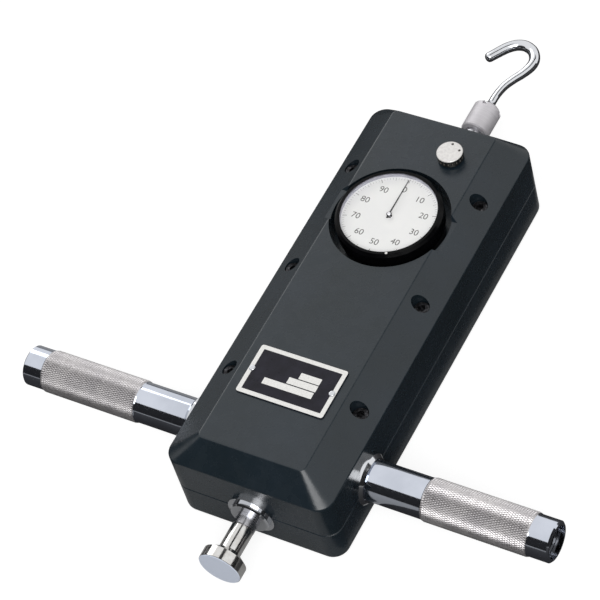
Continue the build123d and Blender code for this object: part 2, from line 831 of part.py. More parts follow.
def case_screws():
    length = case_wall + well_wall
    screw = slotted_screw(plate_screw_radius, plate_screw_head_radius, plate_screw_head, length)
    top = well_floor + case_wall
    return joined(Pos(x, y, top) * screw for x, y in case_screw_places)


def bezel():
    crystal_top = crystal_bottom + crystal_thickness
    return turned_z([
        (case_radius + running_clearance, bezel_bottom), (bezel_radius, bezel_bottom),
        (bezel_radius, bezel_top - bezel_slope_height), (bezel_radius - bezel_slope_width, bezel_top),
        (face_window_radius, bezel_top), (face_window_radius, crystal_top),
        (dial_seat_radius, crystal_top), (dial_seat_radius, dial_plate_bottom),
        (case_radius + running_clearance, dial_plate_bottom),
    ])


def dial_face():
    plate = rod_z(dial_seat_radius, dial_plate_bottom, dial_plate_top, 0, dial_y)
    bore = centre_arbor_radius + dial_bore_clearance
    return plate - rod_z(bore, dial_plate_bottom - 1, crystal_bottom, 0, dial_y)


def dial_ring():
    top = crystal_bottom
    bottom = dial_plate_top
    return turned_z([
        (face_window_radius, bottom), (dial_seat_radius, bottom),
        (dial_seat_radius, top), (face_window_radius, top),
    ])


def crystal():
    return rod_z(dial_seat_radius, crystal_bottom, crystal_bottom + crystal_thickness, 0, dial_y)


def needle():
    blade = make_face(Polyline(
        (-needle_root_width / 2, -needle_tail), (needle_root_width / 2, -needle_tail),
        (needle_tip_width / 2, needle_length), (-needle_tip_width / 2, needle_length), close=True,
    ))
    piece = extrude(blade, amount=needle_thickness) + rod_z(needle_hub_radius, 0, needle_thickness)
    piece -= rod_z(centre_arbor_radius, -1, 1)
    return Pos(0, dial_y, needle_bottom) * piece


def needle_cap():
    bottom = needle_bottom + needle_thickness
    cap = rod_z(needle_cap_radius, bottom, bottom + needle_cap_height, 0, dial_y)
    return chamfer(cap.edges().group_by(Axis.Z)[-1], needle_cap_chamfer)


# ---------------------------------------------------------------- gear train
def movement_plate(bottom, holes):
    outline = Pos((plate_left + plate_right) / 2, (plate_low + plate_high) / 2, bottom)
    blank = RectangleRounded(plate_right - plate_left, plate_high - plate_low, plate_corner)
    plate = extrude(outline * blank, amount=plate_thickness)
    post_holes = [(x, y, plate_screw_radius + plate_hole_clearance) for x, y in post_places]
    for x, y, radius in post_holes + holes:
        plate -= rod_z(radius, bottom - 1, bottom + plate_thickness + 1, x, y)
    return plate


def shared_holes():
    return [
        (idler_x, idler_y, arbor_radius + running_clearance),
        (0, dial_y, centre_arbor_radius + running_clearance),
        (pawl_pivot_x, pawl_pivot_y, pawl_pin_radius + seat_clearance),
    ]


def lower_plate():
    return movement_plate(lower_plate_bottom, shared_holes())


def upper_plate():
    knob_hole = (knob_x, knob_y, cam_radius + cam_throw + cam_hole_clearance)
    return movement_plate(upper_plate_bottom, shared_holes() + [knob_hole])


def posts(z0, z1):
    post = rod_z(post_radius, z0, z1) - rod_z(plate_screw_radius + running_clearance, z0 - 1, z1 + 1)
    return joined(Pos(x, y, 0) * post for x, y in post_places)


def plate_screws():
    screw = slotted_screw(plate_screw_radius, plate_screw_head_radius, movement_screw_head,
                          upper_plate_top - wall + floor_tap_depth)
    return joined(Pos(x, y, upper_plate_top) * screw for x, y in post_places)


def idler_arbor():
    bottom = axis_z - pinion_half_width - arbor_below_pinion
    return rod_z(arbor_radius, bottom, upper_plate_top + arbor_stand, idler_x, idler_y)


def rack_pinion():
    return spur_gear(rack_pinion_teeth, 0, axis_z - pinion_half_width, axis_z + pinion_half_width,
                     idler_x, idler_y, arbor_radius)


def transfer_gear():
    gear = spur_gear(gear_teeth, mesh_angle, gear_bottom, gear_bottom + gear_thickness,
                     idler_x, idler_y, arbor_radius)
    for k in range(gear_windows):
        turn = Rot(0, 0, k * 360 / gear_windows)
        place = Pos(idler_x, idler_y, 0) * turn * Pos(gear_pitch * gear_window_circle, 0, 0)
        window = rod_z(gear_pitch * gear_window_share, gear_bottom - 1, gear_bottom + gear_thickness + 1)
        gear -= place * window
    return gear


def centre_pinion():
    half_tooth = 180 / centre_pinion_teeth
    return spur_gear(centre_pinion_teeth, mesh_angle + 180 + half_tooth, gear_bottom - pinion_overhang,
                     gear_bottom + gear_thickness + pinion_overhang, 0, dial_y, centre_arbor_radius)


def centre_arbor():
    return rod_z(centre_arbor_radius, lower_plate_bottom, needle_bottom + needle_thickness, 0, dial_y)


def ratchet_wheel():
    points = []
    root_radius = ratchet_radius - ratchet_depth
    for k in range(ratchet_teeth):
        tip = 2 * pi * k / ratchet_teeth
        root = 2 * pi * (k + ratchet_lean) / ratchet_teeth
        points.append((ratchet_radius * cos(tip), ratchet_radius * sin(tip)))
        points.append((root_radius * cos(root), root_radius * sin(root)))
    wheel = extrude(make_face(Polyline(*points, close=True)), amount=ratchet_thickness)
    wheel -= rod_z(arbor_radius, -1, ratchet_thickness + 1)
    return Pos(idler_x, idler_y, ratchet_bottom) * wheel


def hairspring():
    """Flat spiral return spring on the needle arbor."""
    def spiral(offset):
        count = spiral_steps * hairspring_turns
        points = []
        for k in range(count + 1):
            share = k / count
            radius = hairspring_inner + (hairspring_outer - hairspring_inner) * share + offset
            angle = 2 * pi * hairspring_turns * share
            points.append((radius * cos(angle), radius * sin(angle)))
        return points

    ribbon = spiral(0) + list(reversed(spiral(hairspring_strip)))
    strip = extrude(make_face(Polyline(*ribbon, close=True)), amount=hairspring_height)
    collet = rod_z(hairspring_inner + hairspring_strip / 2, 0, hairspring_height)
    collet -= rod_z(centre_arbor_radius, -1, hairspring_height + 1)
    return Pos(0, dial_y, hairspring_bottom) * (strip + collet)


# ---------------------------------------------------------------- peak-hold knob
def peak_knob():
    bottom = body_height + knob_gap + knob_bush_rim
    knob = rod_z(knob_radius, bottom, knob_top)
    knob = chamfer(knob.edges().group_by(Axis.Z)[-1], knob_top_chamfer)
    flute_circle = knob_radius + knob_flute_radius * knob_flute_share
    for k in range(knob_flutes):
        place = Rot(0, 0, k * 360 / knob_flutes) * Pos(flute_circle, 0, 0)
        knob -= place * rod_z(knob_flute_radius, bottom + knob_ring, knob_top - knob_flute_top)
    for angle in dot_angles:
        place = Rot(0, 0, angle) * Pos(dot_circle, 0, 0)
        knob -= place * rod_z(dot_radius, knob_top - dot_depth, knob_top + 1)
    knob -= rod_z(knob_shaft_radius, bottom - 1, knob_top - knob_cap)
    return Pos(knob_x, knob_y, 0) * knob


def knob_shaft():
    shaft = rod_z(knob_shaft_radius, ratchet_bottom, knob_top - knob_cap)
    cam_end = ratchet_bottom + ratchet_thickness
    cam = Pos(0, -cam_throw, 0) * rod_z(cam_radius, ratchet_bottom, cam_end)
    return Pos(knob_x, knob_y, 0) * (shaft + cam)


def knob_bush():
    return turned_z([
        (knob_shaft_radius + running_clearance, ceiling - knob_bush_reach),
        (knob_bush_radius, ceiling - knob_bush_reach), (knob_bush_radius, body_height),
        (knob_bush_flange, body_height), (knob_bush_flange, body_height + knob_bush_rim),
        (knob_shaft_radius + running_clearance, body_height + knob_bush_rim),
    ], knob_x, knob_y)


def knob_nut():
    outline = RegularPolygon(knob_nut_half_flats, 6, major_radius=False)
    nut = extrude(Pos(knob_x, knob_y, ceiling - knob_nut_height) * outline, amount=knob_nut_height)
    return nut - rod_z(knob_bush_radius, 0, body_height, knob_x, knob_y)


def hold_pawl():
    """Two-armed lever: tip beside the ratchet wheel, tail beside the cam."""
    angle = radians(pawl_tip_angle)
    reach = ratchet_radius + pawl_tip_gap
    tip = (idler_x + reach * cos(angle), idler_y + reach * sin(angle))
    pivot = (pawl_pivot_x, pawl_pivot_y)
    cam_centre = (knob_x, knob_y - cam_throw)
    gap = hypot(cam_centre[0] - pivot[0], cam_centre[1] - pivot[1])
    share = (gap - cam_radius - pawl_cam_gap) / gap
    tail = (pivot[0] + (cam_centre[0] - pivot[0]) * share, pivot[1] + (cam_centre[1] - pivot[1]) * share)

    def arm(end, start_width, end_width):
        dx, dy = end[0] - pivot[0], end[1] - pivot[1]
        length = hypot(dx, dy)
        nx, ny = -dy / length, dx / length
        return make_face(Polyline(
            (pivot[0] + nx * start_width / 2, pivot[1] + ny * start_width / 2),
            (end[0] + nx * end_width / 2, end[1] + ny * end_width / 2),
            (end[0] - nx * end_width / 2, end[1] - ny * end_width / 2),
            (pivot[0] - nx * start_width / 2, pivot[1] - ny * start_width / 2), close=True,
        ))

    root_width = pawl_width * pawl_root_share
    flat = arm(tip, root_width, pawl_tip_width) + arm(tail, root_width, pawl_width * pawl_tail_share)
    flat += Pos(*pivot) * Circle(pawl_eye_radius)
    flat -= Pos(*pivot) * Circle(pawl_pin_radius + running_clearance)
    return extrude(Pos(0, 0, ratchet_bottom) * flat, amount=ratchet_thickness)


def pawl_pin():
    return rod_z(pawl_pin_radius, lower_plate_bottom, upper_plate_top, pawl_pivot_x, pawl_pivot_y)


# ---------------------------------------------------------------- nameplate
def nameplate():
    plate = slab(plate_label_width, plate_label_height, label_corner, body_height,
                 body_height + label_thickness, label_y)
    hole = rod_z(rivet_radius + seat_clearance, body_height - 1, body_height + 2, rivet_x, label_y)
    for piece in both_sides(hole):
        plate -= piece
    return plate


def nameplate_rivets():
    top = body_height + label_thickness
    rivet = rod_z(rivet_radius, ceiling + rivet_inset, top) + rod_z(rivet_head_radius, top, top + rivet_head)
    rivet = fillet(rivet.edges().group_by(Axis.Z)[-1], rivet_head * rivet_round_share)
    return joined(Pos(side * rivet_x, label_y, 0) * rivet for side in (-1, 1))


# ---------------------------------------------------------------- write every node
def build():
    shell = housing_shell()
    nodes = {
        "rear_housing": rear_housing(shell),
        "front_cover": front_cover(shell),
        "cover_screws": cover_screws(),
        "push_end_bush": guide_bush(-1, spindle_radius, bush_flange_radius, bush_nose_radius),
        "hook_end_bush": guide_bush(1, spindle_nose_radius, bush_nose_radius, bush_radius),
        "spindle": spindle(),
        "push_head": push_head(),
        "hook_nut": hook_nut(),
        "hook": hook(),
        "spring_collar": spring_collar(),
        "collar_pin": collar_pin(),
        "main_spring": main_spring(),
        "spring_bracket": bracket(spring_end, 1),
        "stop_bracket": bracket(spring_start - collar_thickness - seat_clearance, -1),
        "bracket_screws": bracket_screws(),
        "handle_studs": joined(both_sides(handle_stud())),
        "dial_case": dial_case(),
        "case_screws": case_screws(),
        "bezel": bezel(),
        "dial_face": dial_face(),
        "dial_ring": dial_ring(),
        "crystal": crystal(),
        "needle": needle(),
        "needle_cap": needle_cap(),
        "centre_arbor": centre_arbor(),
        "centre_pinion": centre_pinion(),
        "hairspring": hairspring(),
        "idler_arbor": idler_arbor(),
        "rack_pinion": rack_pinion(),
        "transfer_gear": transfer_gear(),
        "ratchet_wheel": ratchet_wheel(),
        "lower_plate": lower_plate(),
        "upper_plate": upper_plate(),
        "movement_posts": posts(wall, lower_plate_bottom),
        "plate_spacers": posts(lower_plate_top, upper_plate_bottom),
        "plate_screws": plate_screws(),
        "peak_knob": peak_knob(),
        "knob_shaft": knob_shaft(),
        "knob_bush": knob_bush(),
        "knob_nut": knob_nut(),
        "hold_pawl": hold_pawl(),
        "pawl_pin": pawl_pin(),
        "nameplate": nameplate(),
        "nameplate_rivets": nameplate_rivets(),
    }
    paired = {"handle": handle(), "handle_flange": handle_flange(), "handle_plug": handle_plug()}
    for name, piece in paired.items():
        nodes["right_" + name], nodes["left_" + name] = both_sides(piece)
    return nodes


os.makedirs("parts", exist_ok=True)
for node, shape in build().items():
    export_step(shape, f"parts/{node}.step")
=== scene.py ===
import json
import math

import bmesh
import bpy
from mathutils import Matrix, Vector


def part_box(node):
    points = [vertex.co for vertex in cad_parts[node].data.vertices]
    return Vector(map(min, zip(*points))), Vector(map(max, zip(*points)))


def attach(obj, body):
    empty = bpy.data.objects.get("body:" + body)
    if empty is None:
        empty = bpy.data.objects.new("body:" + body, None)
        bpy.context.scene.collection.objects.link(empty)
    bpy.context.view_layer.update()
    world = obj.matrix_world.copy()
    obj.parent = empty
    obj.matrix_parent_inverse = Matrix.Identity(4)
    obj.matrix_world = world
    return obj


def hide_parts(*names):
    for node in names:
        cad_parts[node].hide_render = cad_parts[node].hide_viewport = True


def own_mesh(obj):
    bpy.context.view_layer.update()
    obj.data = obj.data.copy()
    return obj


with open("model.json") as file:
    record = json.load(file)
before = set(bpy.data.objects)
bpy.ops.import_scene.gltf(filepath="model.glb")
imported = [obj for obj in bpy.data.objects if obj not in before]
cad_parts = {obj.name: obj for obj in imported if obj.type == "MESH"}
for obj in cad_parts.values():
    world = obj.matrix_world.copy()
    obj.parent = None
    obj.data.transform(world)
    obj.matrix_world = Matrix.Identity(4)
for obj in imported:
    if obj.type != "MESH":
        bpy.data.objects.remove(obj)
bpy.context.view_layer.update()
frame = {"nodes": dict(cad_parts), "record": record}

MM = 0.001


# ---------------------------------------------------------------- sizes, metres
# Grips
grip_start = 82.9 * MM
grip_end = 140.0 * MM
groove_radius = 11.12 * MM
knurl_tip_radius = 11.5 * MM
knurls_around = 58
knurls_along = 44

# Hook: (x, y, radius) in millimetres from the end of the nut
hook_collar = [(0, 0.03, 3.0), (0, 0.25, 3.4), (0, 1.6, 3.4), (0, 2.2, 3.1), (0, 3.2, 2.4)]
hook_route = [
    (0.0, 4.0, 2.25), (0.2, 10.0, 2.2), (1.6, 17.0, 2.25), (4.3, 23.0, 2.35), (7.4, 28.5, 2.5),
    (9.5, 34.3, 2.85), (9.3, 39.7, 3.05), (6.0, 44.9, 3.1), (0.6, 47.3, 3.1), (-4.6, 46.3, 3.05),
    (-8.8, 43.0, 3.0), (-12.3, 38.3, 2.9), (-15.6, 33.4, 2.8),
]
hook_steps = 6
hook_around = 36
hook_tip_angles = (25, 48, 66, 80)
hook_tip_reach = 0.75          # length of the rounded tip, as a share of its radius

# Dial print: length and half width of a mark at each ten, each five and each one
mark_circle = 25.0 * MM
marks = 100
mark_length = {10: 2.4 * MM, 5: 1.8 * MM, 1: 1.2 * MM}
mark_half_width = {10: 0.14 * MM, 5: 0.08 * MM, 1: 0.05 * MM}
number_circle = 17.9 * MM
number_size = 5.1 * MM
number_thinning = 0.01 * MM
numbers = 10
print_height = 0.02 * MM
print_sink = 0.01 * MM

# White dot on the bezel, from the centre of the dial
index_dot_x = 10.85 * MM
index_dot_y = -24.3 * MM
index_dot_radius = 0.7 * MM

# Nameplate print; each bar is (left, right, middle y) in millimetres
plate_print_height = 0.03 * MM
border_outside = 0.15 * MM
border_inside = 2.5 * MM
border_outer_corner = 1.3 * MM
border_inner_corner = 0.25 * MM
write_in_bars = ((2.45, 14.3, -59.0), (-2.2, 14.35, -63.35), (-14.2, 14.1, -67.75))
bar_half_height = 1.9
bar_corner = 0.2 * MM

# Knob dimples, with painted shade laid in them
knob_dot_angles = (28.0, 97.0)
knob_dot_circle = 5.2 * MM
knob_dot_radius = 0.73 * MM
knob_dot_bottom = 0.9 * MM
knob_dot_top = 0.35 * MM
dot_steps = 24

# Where a finish changes, and with it the knob side's painted shade and the push face's painted
# reflection: below the top of the knob, and behind the push face
knob_side_edge = 0.6 * MM
knob_top_edge = 0.45 * MM
push_face_edge = 0.25 * MM
push_side_edge = 0.4 * MM

# Studio
floor_half = 6.0
floor_z = -0.0004
floor_grey = 0.3
floor_seen = 0.82              # glow of the floor to the camera
floor_mirrored = 0.05          # glow of the floor in metal
world_light = 0.45
world_seen = 1.0


# ---------------------------------------------------------------- places, metres
def middle(low, high):
    return (low.x + high.x) / 2, (low.y + high.y) / 2, (low.z + high.z) / 2


dial_low, dial_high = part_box("dial_face")
dial_x, dial_y, _ = middle(dial_low, dial_high)
dial_top = dial_high.z
plate_low, plate_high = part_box("nameplate")
knob_low, knob_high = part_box("peak_knob")
knob_x, knob_y, _ = middle(knob_low, knob_high)
bezel_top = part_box("bezel")[1].z
_, handle_y, handle_z = middle(*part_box("right_handle_flange"))
push_face_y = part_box("push_head")[0].y


# ---------------------------------------------------------------- colour and nodes
def colour(red, green, blue):
    """Linear RGBA from the 0-255 values of a colour as it is seen."""
    def linear(value):
        value /= 255
        return value / 12.92 if value <= 0.04045 else ((value + 0.055) / 1.055) ** 2.4
    return linear(red), linear(green), linear(blue), 1.0


def maths(tree, operation, first, second):
    """Math node on two values, each a number or a socket."""
    node = tree.nodes.new("ShaderNodeMath")
    node.operation = operation
    for socket, value in zip(node.inputs, (first, second)):
        if isinstance(value, float):
            socket.default_value = value
        else:
            tree.links.new(value, socket)
    return node.outputs[0]


class Material:
    """A Principled material with room for noise, bump and masks."""

    def __init__(self, name, base, roughness, metallic=0.0):
        self.material = bpy.data.materials.new(name)
        self.material.use_nodes = True
        self.material.diffuse_color = base
        self.tree = self.material.node_tree
        self.tree.nodes.clear()
        self.output = self.node("ShaderNodeOutputMaterial")
        self.shader = self.node("ShaderNodeBsdfPrincipled")
        self.set("Base Color", base)
        self.set("Roughness", roughness)
        self.set("Metallic", metallic)
        self.link(self.shader.outputs[0], self.output.inputs[0])
        self.coordinates = self.node("ShaderNodeTexCoord")
        self.bumped = None

    def node(self, kind):
        return self.tree.nodes.new(kind)

    def set(self, socket, value):
        self.shader.inputs[socket].default_value = value

    def link(self, source, target):
        self.tree.links.new(source, target)

    def place(self, scale=(1, 1, 1), offset=(0, 0, 0)):
        """Object coordinates, moved and stretched."""
        mapping = self.node("ShaderNodeMapping")
        mapping.inputs["Location"].default_value = offset
        mapping.inputs["Scale"].default_value = scale
        self.link(self.coordinates.outputs["Object"], mapping.inputs["Vector"])
        return mapping.outputs["Vector"]

    def noise(self, scale, detail=3.0, rough=0.55, stretch=(1, 1, 1)):
        texture = self.node("ShaderNodeTexNoise")
        texture.inputs["Scale"].default_value = scale
        texture.inputs["Detail"].default_value = detail
        texture.inputs["Roughness"].default_value = rough
        self.link(self.place(stretch), texture.inputs["Vector"])
        return texture.outputs["Fac"]

    def cells(self, scale, output="Distance"):
        texture = self.node("ShaderNodeTexVoronoi")
        texture.inputs["Scale"].default_value = scale
        self.link(self.place(), texture.inputs["Vector"])
        return texture.outputs[output]

    def along(self, axis):
        """Distance along one axis, 0 to 2, of the shared frame, in metres."""
        separate = self.node("ShaderNodeSeparateXYZ")
        self.link(self.coordinates.outputs["Object"], separate.inputs[0])
        return separate.outputs[axis]

    def levels(self, value, low, high, to_low=0.0, to_high=1.0):
        ranged = self.node("ShaderNodeMapRange")
        ranged.inputs["From Min"].default_value = low
        ranged.inputs["From Max"].default_value = high
        ranged.inputs["To Min"].default_value = to_low
        ranged.inputs["To Max"].default_value = to_high
        self.link(value, ranged.inputs["Value"])
        return ranged.outputs["Result"]

    def combine(self, operation, first, second):
        return maths(self.tree, operation, first, second)

    def shade(self, mask, first, second):
        """Base colour from first, or from what is linked so far, to second."""
        mix = self.node("ShaderNodeMix")
        mix.data_type = "RGBA"
        self.link(mask, mix.inputs["Factor"])
        if first is None:
            self.link(self.shader.inputs["Base Color"].links[0].from_socket, mix.inputs["A"])
        else:
            mix.inputs["A"].default_value = first
        mix.inputs["B"].default_value = second
        self.link(mix.outputs["Result"], self.shader.inputs["Base Color"])

    def mottle(self, value, low, high, first, second):
        """Base colour between two 0-255 colours as value goes from low to high."""
        self.shade(self.levels(value, low, high), colour(*first), colour(*second))

    def rough(self, mask, low, high):
        self.link(self.levels(mask, 0.3, 0.7, low, high), self.shader.inputs["Roughness"])

    def bump(self, height, strength, depth):
        bump = self.node("ShaderNodeBump")
        bump.inputs["Strength"].default_value = strength
        bump.inputs["Distance"].default_value = depth
        self.link(height, bump.inputs["Height"])
        if self.bumped is not None:
            self.link(self.bumped, bump.inputs["Normal"])
        self.bumped = bump.outputs["Normal"]
        self.link(self.bumped, self.shader.inputs["Normal"])

    def rings(self, x, y, pitch, wander):
        """Fine turned lines round an upright axis, which wander a little from true circles."""
        separate = self.node("ShaderNodeSeparateXYZ")
        self.link(self.place(offset=(-x, -y, 0)), separate.inputs[0])
        squares = [self.combine("MULTIPLY", value, value) for value in separate.outputs[:2]]
        radius = self.combine("SQRT", self.combine("ADD", *squares), 0.0)
        radius = self.combine("ADD", radius, self.levels(self.noise(300.0), 0, 1, 0, wander))
        return self.combine("SINE", self.combine("MULTIPLY", radius, 2 * math.pi / pitch), 0.0)


def satin_paint():
    """Dark blue-grey satin enamel over a die casting."""
    paint = Material("cast_paint", colour(26, 36, 43), 0.27)
    paint.mottle(paint.noise(26.0, 4.0), 0.35, 0.65, (23, 33, 39), (29, 39, 47))
    paint.shade(paint.levels(paint.noise(900.0, 3.0), 0.66, 0.78), None, colour(38, 47, 54))
    paint.rough(paint.noise(140.0, 4.0), 0.22, 0.32)
    paint.bump(paint.noise(1300.0, 3.0, 0.6), 0.22, 0.00003)
    paint.bump(paint.noise(240.0, 2.0), 0.25, 0.00005)
    return paint


def black_steel():
    """Black-oxide screws, lighter in rubbed spots at random."""
    steel = Material("black_steel", colour(46, 46, 48), 0.36, 0.85)
    steel.mottle(steel.noise(700.0, 4.0), 0.45, 0.75, (34, 34, 36), (98, 98, 102))
    steel.rough(steel.noise(900.0, 3.0), 0.25, 0.45)
    steel.bump(steel.noise(2600.0, 3.0), 0.2, 0.00002)
    return steel


def chrome(name, tone=(222, 224, 228), low=0.05, high=0.13):
    """Bright plating with the faintest handling haze."""
    plating = Material(name, colour(*tone), low, 1.0)
    plating.mottle(plating.noise(60.0, 3.0), 0.3, 0.7, tone, [value - 14 for value in tone])
    plating.rough(plating.noise(220.0, 5.0, 0.7), low, high)
    plating.bump(plating.noise(420.0, 3.0), 0.06, 0.00004)
    return plating


def knurl_plating():
    """Chrome over knurling, with darker spots here and there."""
    plating = Material("knurl_plating", colour(188, 185, 186), 0.3, 0.85)
    plating.mottle(plating.noise(90.0, 4.0), 0.3, 0.7, (178, 175, 177), (198, 195, 195))
    plating.shade(plating.levels(plating.noise(700.0, 3.0), 0.55, 0.85), None, colour(150, 146, 146))
    plating.rough(plating.noise(500.0, 4.0), 0.26, 0.4)
    plating.bump(plating.noise(2400.0, 2.0), 0.08, 0.00001)
    return plating


def ground_steel():
    """Ground bar: fine lines round the measuring axis."""
    steel = Material("ground_steel", colour(188, 188, 192), 0.25, 1.0)
    lines = steel.noise(420.0, 4.0, 0.6, (0.12, 8.0, 0.12))
    steel.mottle(lines, 0.3, 0.7, (170, 170, 175), (202, 202, 206))
    steel.rough(lines, 0.18, 0.34)
    steel.bump(lines, 0.12, 0.00002)
    return steel


def matte_nut():
    """Bead-blasted and turned nut, slightly lilac grey."""
    nut = Material("matte_nut", colour(216, 213, 217), 0.5, 0.3)
    lines = nut.noise(300.0, 3.0, 0.6, (0.15, 9.0, 0.15))
    nut.mottle(lines, 0.3, 0.7, (208, 205, 209), (224, 221, 225))
    nut.rough(nut.noise(800.0, 3.0), 0.46, 0.6)
    nut.bump(lines, 0.18, 0.00003)
    nut.bump(nut.noise(3000.0, 2.0), 0.15, 0.00001)
    return nut


def spring_wire():
    wire = Material("spring_wire", colour(120, 120, 124), 0.35, 0.9)
    wire.mottle(wire.noise(300.0, 4.0), 0.35, 0.65, (98, 98, 104), (142, 142, 146))
    wire.rough(wire.noise(600.0, 3.0), 0.28, 0.48)
    wire.bump(wire.noise(1800.0, 3.0), 0.15, 0.00002)
    return wire


def zinc_plate():
    zinc = Material("zinc_plate", colour(172, 174, 178), 0.38, 0.9)
    zinc.shade(zinc.cells(240.0, "Color"), colour(160, 163, 168), colour(186, 187, 190))
    zinc.rough(zinc.noise(300.0, 4.0), 0.3, 0.5)
    zinc.bump(zinc.noise(1200.0, 3.0), 0.15, 0.00002)
    return zinc


def brass():
    """Lapped movement brass."""
    metal = Material("movement_brass", colour(196, 160, 92), 0.28, 1.0)
    lines = metal.noise(500.0, 4.0, 0.6, (6.0, 0.3, 1.0))
    metal.mottle(lines, 0.3, 0.7, (184, 148, 82), (210, 176, 108))
    metal.rough(metal.noise(300.0, 4.0), 0.2, 0.38)
    metal.bump(lines, 0.1, 0.00002)
    return metal


def moulded_plastic():
    plastic = Material("moulded_plastic", colour(22, 22, 23), 0.45)
    plastic.mottle(plastic.noise(160.0, 4.0), 0.35, 0.65, (18, 18, 19), (28, 28, 29))
    plastic.rough(plastic.noise(500.0, 3.0), 0.38, 0.55)
    plastic.bump(plastic.cells(2200.0), 0.18, 0.00003)
    return plastic


def bezel_gloss():
    """Glossy black bezel with turned lines in its lacquer."""
    gloss = Material("bezel_gloss", colour(5, 5, 6), 0.2)
    lines = gloss.rings(dial_x, dial_y, 0.00055, 0.0006)
    gloss.mottle(gloss.noise(120.0, 4.0), 0.4, 0.7, (4, 4, 5), (8, 8, 10))
    gloss.rough(gloss.noise(260.0, 4.0), 0.16, 0.28)
    gloss.bump(lines, 0.05, 0.00002)
    gloss.set("Specular IOR Level", 0.1)
    return gloss


def dial_paper():
    """Matte white lacquer of the dial plate."""
    white = Material("dial_lacquer", colour(245, 245, 244), 0.55)
    white.mottle(white.noise(70.0, 4.0), 0.3, 0.7, (243, 243, 242), (248, 248, 246))
    white.rough(white.noise(500.0, 3.0), 0.5, 0.62)
    white.bump(white.noise(2800.0, 2.0), 0.1, 0.00001)
    return white


def ring_satin():
    ring = Material("ring_satin", colour(176, 176, 186), 0.4, 0.5)
    lines = ring.rings(dial_x, dial_y, 0.0003, 0.0003)
    ring.mottle(ring.noise(200.0, 3.0), 0.3, 0.7, (166, 166, 176), (188, 188, 198))
    ring.rough(ring.noise(400.0, 3.0), 0.34, 0.48)
    ring.bump(lines, 0.1, 0.00001)
    return ring


def crystal_glass():
    """Thin flat crystal that lets the lamps through to the dial."""
    glass = Material("crystal_glass", (1, 1, 1, 1), 0.02)
    glass.set("Transmission Weight", 1.0)
    glass.set("IOR", 1.05)
    glass.rough(glass.noise(180.0, 3.0), 0.01, 0.03)
    clear = glass.node("ShaderNodeBsdfTransparent")
    path = glass.node("ShaderNodeLightPath")
    mix = glass.node("ShaderNodeMixShader")
    rays = glass.combine("MAXIMUM", path.outputs["Is Shadow Ray"], path.outputs["Is Diffuse Ray"])
    glass.link(rays, mix.inputs[0])
    glass.link(glass.shader.outputs[0], mix.inputs[1])
    glass.link(clear.outputs[0], mix.inputs[2])
    glass.link(mix.outputs[0], glass.output.inputs[0])
    return glass


def matte_black():
    black = Material("matte_black", colour(30, 30, 32), 0.5)
    black.mottle(black.noise(400.0, 3.0), 0.35, 0.65, (24, 24, 26), (38, 38, 40))
    black.rough(black.noise(700.0, 3.0), 0.42, 0.6)
    black.bump(black.noise(2400.0, 2.0), 0.1, 0.00001)
    return black


def knob_silver():
    """Silver knob: matte top with faint turned rings, polished side whose darker colour is painted
    shade for the dark it mirrors.
    """
    silver = Material("knob_silver", colour(226, 224, 222), 0.4)
    lines = silver.rings(knob_x, knob_y, 0.0004, 0.0004)
    silver.mottle(silver.noise(700.0, 4.0), 0.3, 0.7, (216, 213, 211), (234, 232, 229))
    below, above = knob_high.z - knob_side_edge, knob_high.z - knob_top_edge
    side = silver.levels(silver.along(2), below, above, 1.0, 0.0)
    # Painted shade: the polished side gets a dark base colour for the dark housing it mirrors.
    silver.shade(side, None, colour(104, 102, 99))
    silver.link(silver.levels(side, 0.0, 1.0, 0.3, 1.0), silver.shader.inputs["Metallic"])
    matte = silver.levels(silver.noise(500.0, 3.0), 0.3, 0.7, 0.34, 0.48)
    polish = silver.levels(side, 0.0, 1.0, 1.0, 0.35)
    silver.link(silver.combine("MULTIPLY", matte, polish), silver.shader.inputs["Roughness"])
    silver.bump(lines, 0.08, 0.00001)
    silver.bump(silver.noise(2600.0, 3.0), 0.2, 0.00002)
    return silver


def push_face_chrome():
    """Plated push head with a ground, satin face; the face's pale blue-white colour is painted
    reflection of the bright space in front of it.
    """
    plating = Material("push_head_chrome", colour(216, 215, 213), 0.12)
    plating.mottle(plating.noise(240.0, 4.0), 0.3, 0.7, (204, 201, 197), (224, 224, 223))
    before, behind = push_face_y + push_face_edge, push_face_y + push_side_edge
    face = plating.levels(plating.along(1), before, behind, 1.0, 0.0)
    # Painted reflection: the face is coloured pale blue-white for the light it mirrors, and made
    # nearly non-metallic so the colour shows.
    plating.shade(face, None, colour(222, 230, 246))
    plating.link(plating.levels(face, 0.0, 1.0, 1.0, 0.1), plating.shader.inputs["Metallic"])
    haze = plating.levels(plating.noise(300.0, 4.0), 0.3, 0.7, 0.1, 0.18)
    ground = plating.levels(face, 0.0, 1.0, 1.0, 3.0)
    plating.link(plating.combine("MULTIPLY", haze, ground), plating.shader.inputs["Roughness"])
    plating.bump(plating.noise(900.0, 3.0), 0.1, 0.00003)
    return plating


def label_enamel():
    enamel = Material("label_enamel", colour(26, 25, 34), 0.3)
    enamel.mottle(enamel.noise(150.0, 4.0), 0.35, 0.65, (22, 21, 29), (33, 32, 42))
    enamel.rough(enamel.noise(400.0, 3.0), 0.26, 0.4)
    enamel.bump(enamel.noise(1400.0, 3.0), 0.12, 0.00002)
    enamel.set("Specular IOR Level", 0.2)
    return enamel


def print_ink(name, tone):
    """Screen-printed ink, a little uneven at its edges."""
    ink = Material(name, colour(*tone), 0.5)
    ink.mottle(ink.noise(1200.0, 4.0), 0.35, 0.7, tone, [value * 0.93 for value in tone])
    ink.rough(ink.noise(900.0, 3.0), 0.42, 0.58)
    ink.bump(ink.noise(2600.0, 2.0), 0.1, 0.00001)
    return ink


